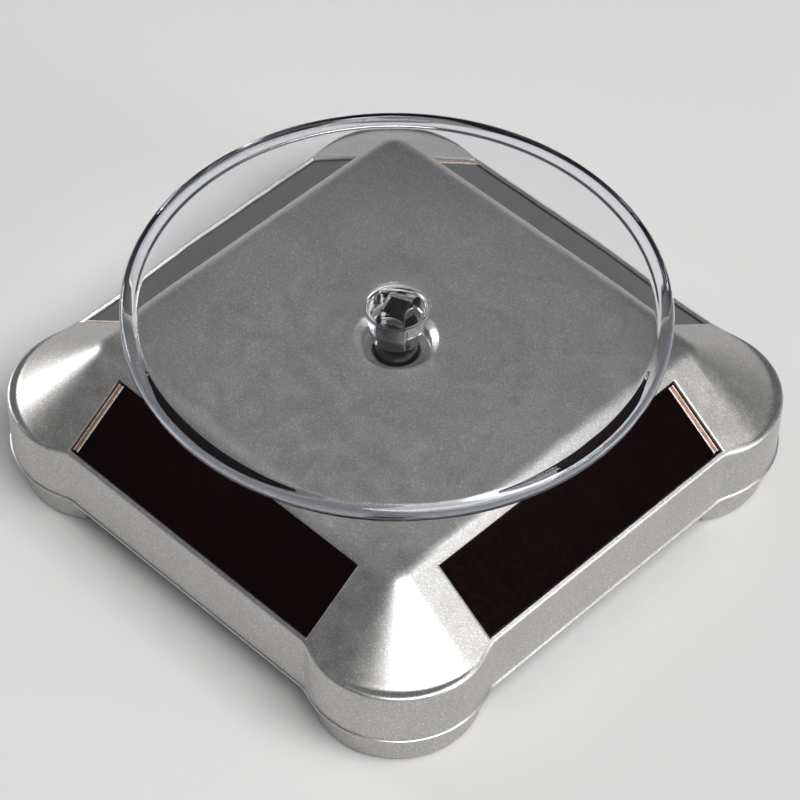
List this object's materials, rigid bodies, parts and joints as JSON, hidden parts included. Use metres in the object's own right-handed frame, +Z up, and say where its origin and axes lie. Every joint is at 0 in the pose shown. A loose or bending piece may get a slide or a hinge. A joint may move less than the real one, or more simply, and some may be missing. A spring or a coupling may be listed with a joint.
{
  "type": "rotating display stand",
  "caption": "Square solar-powered display turntable: lobed silver base with sloping solar cells, and a clear round platter on a square drive stub.",
  "frame": {"origin": "centre of the footprint on the surface that the foot pads rest on", "axes": "+Z up along the platter's spin axis, X and Y parallel to the straight sides of the base"},
  "size_m": [0.102, 0.102, 0.04],
  "materials": {
    "silver_paint": "satin metallic silver paint over plastic, fine flake",
    "solar_cell": "glossy dark maroon-black amorphous silicon cell",
    "foam_pad": "thin black non-slip foam",
    "zinc_screw": "zinc-plated steel",
    "contact_steel": "nickel-plated spring steel",
    "black_abs": "black moulded plastic",
    "grey_abs": "grey moulded plastic",
    "pin_steel": "ground steel pin",
    "white_nylon": "natural nylon",
    "hub_black": "glossy black acetal",
    "can_steel": "plated steel can",
    "armature": "enamelled copper winding on a steel core",
    "brass": "brass",
    "ferrite": "ferrite magnet",
    "red_pvc": "red wire insulation",
    "black_pvc": "black wire insulation",
    "clear_acrylic": "clear cast acrylic, polished, faint blue-violet at the rim"
  },
  "bodies": {
    "base": {"top_housing": "silver_paint", "bottom_cover": "silver_paint", "solar_cell_front_left": "solar_cell", "solar_cell_front_right": "solar_cell", "solar_cell_back_right": "solar_cell", "solar_cell_back_left": "solar_cell", "foot_pad_front": "foam_pad", "foot_pad_right": "foam_pad", "foot_pad_back": "foam_pad", "foot_pad_left": "foam_pad", "case_screw_front": "zinc_screw", "case_screw_right": "zinc_screw", "case_screw_back": "zinc_screw", "case_screw_left": "zinc_screw", "battery_spring_contact": "contact_steel", "battery_flat_contact": "contact_steel", "switch_body": "black_abs", "gearbox_base": "grey_abs", "gearbox_plate": "grey_abs", "gear_pin_first": "pin_steel", "gear_pin_second": "pin_steel", "centre_spindle": "pin_steel", "gearbox_screw_1": "zinc_screw", "gearbox_screw_2": "zinc_screw", "gearbox_screw_3": "zinc_screw", "motor_can": "can_steel", "motor_end_cap": "black_abs", "motor_magnet_1": "ferrite", "motor_magnet_2": "ferrite", "motor_terminal_positive": "brass", "motor_terminal_negative": "brass", "solar_harness_red": "red_pvc", "solar_harness_black": "black_pvc", "battery_lead_red": "red_pvc", "switch_lead_red": "red_pvc", "battery_lead_black": "black_pvc"},
    "drive": {"output_gear": "white_nylon", "drive_shaft": "hub_black"},
    "platter": {"platter": "clear_acrylic"},
    "second_wheel": {"second_gear": "white_nylon"},
    "first_wheel": {"first_gear": "white_nylon"},
    "rotor": {"motor_rotor": "armature", "motor_pinion": "brass"},
    "door": {"battery_door": "silver_paint"},
    "switch": {"switch_slider": "black_abs"}
  },
  "joints": [
    {"name": "platter_spin", "type": "hinge", "parent": "base", "child": "drive", "pos_m": [0, 0, 0.018], "axis": [0, 0, 1], "continuous": true},
    {"name": "platter_lift_off", "type": "slide", "parent": "drive", "child": "platter", "axis": [0, 0, 1], "range_m": [0, 0.012]},
    {"name": "second_gear_spin", "type": "hinge", "parent": "base", "child": "second_wheel", "pos_m": [0, 0.0112, 0.015], "axis": [0, 0, 1], "continuous": true},
    {"name": "first_gear_spin", "type": "hinge", "parent": "base", "child": "first_wheel", "pos_m": [0.0112, 0.0112, 0.0125], "axis": [0, 0, 1], "continuous": true},
    {"name": "motor_spin", "type": "hinge", "parent": "base", "child": "rotor", "pos_m": [0.0209, 0.0056, 0.018], "axis": [0, 0, 1], "continuous": true},
    {"name": "battery_door_lift_off", "type": "slide", "parent": "base", "child": "door", "axis": [0, 0, -1], "range_m": [0, 0.006]},
    {"name": "power_switch_slide", "type": "slide", "parent": "base", "child": "switch", "axis": [1, 0, 0], "range_m": [0, 0.0025]}
  ],
  "couplings": [
    {"joint": "second_gear_spin", "follows": "platter_spin", "ratio": -6},
    {"joint": "first_gear_spin", "follows": "platter_spin", "ratio": 36},
    {"joint": "motor_spin", "follows": "platter_spin", "ratio": -216}
  ]
}
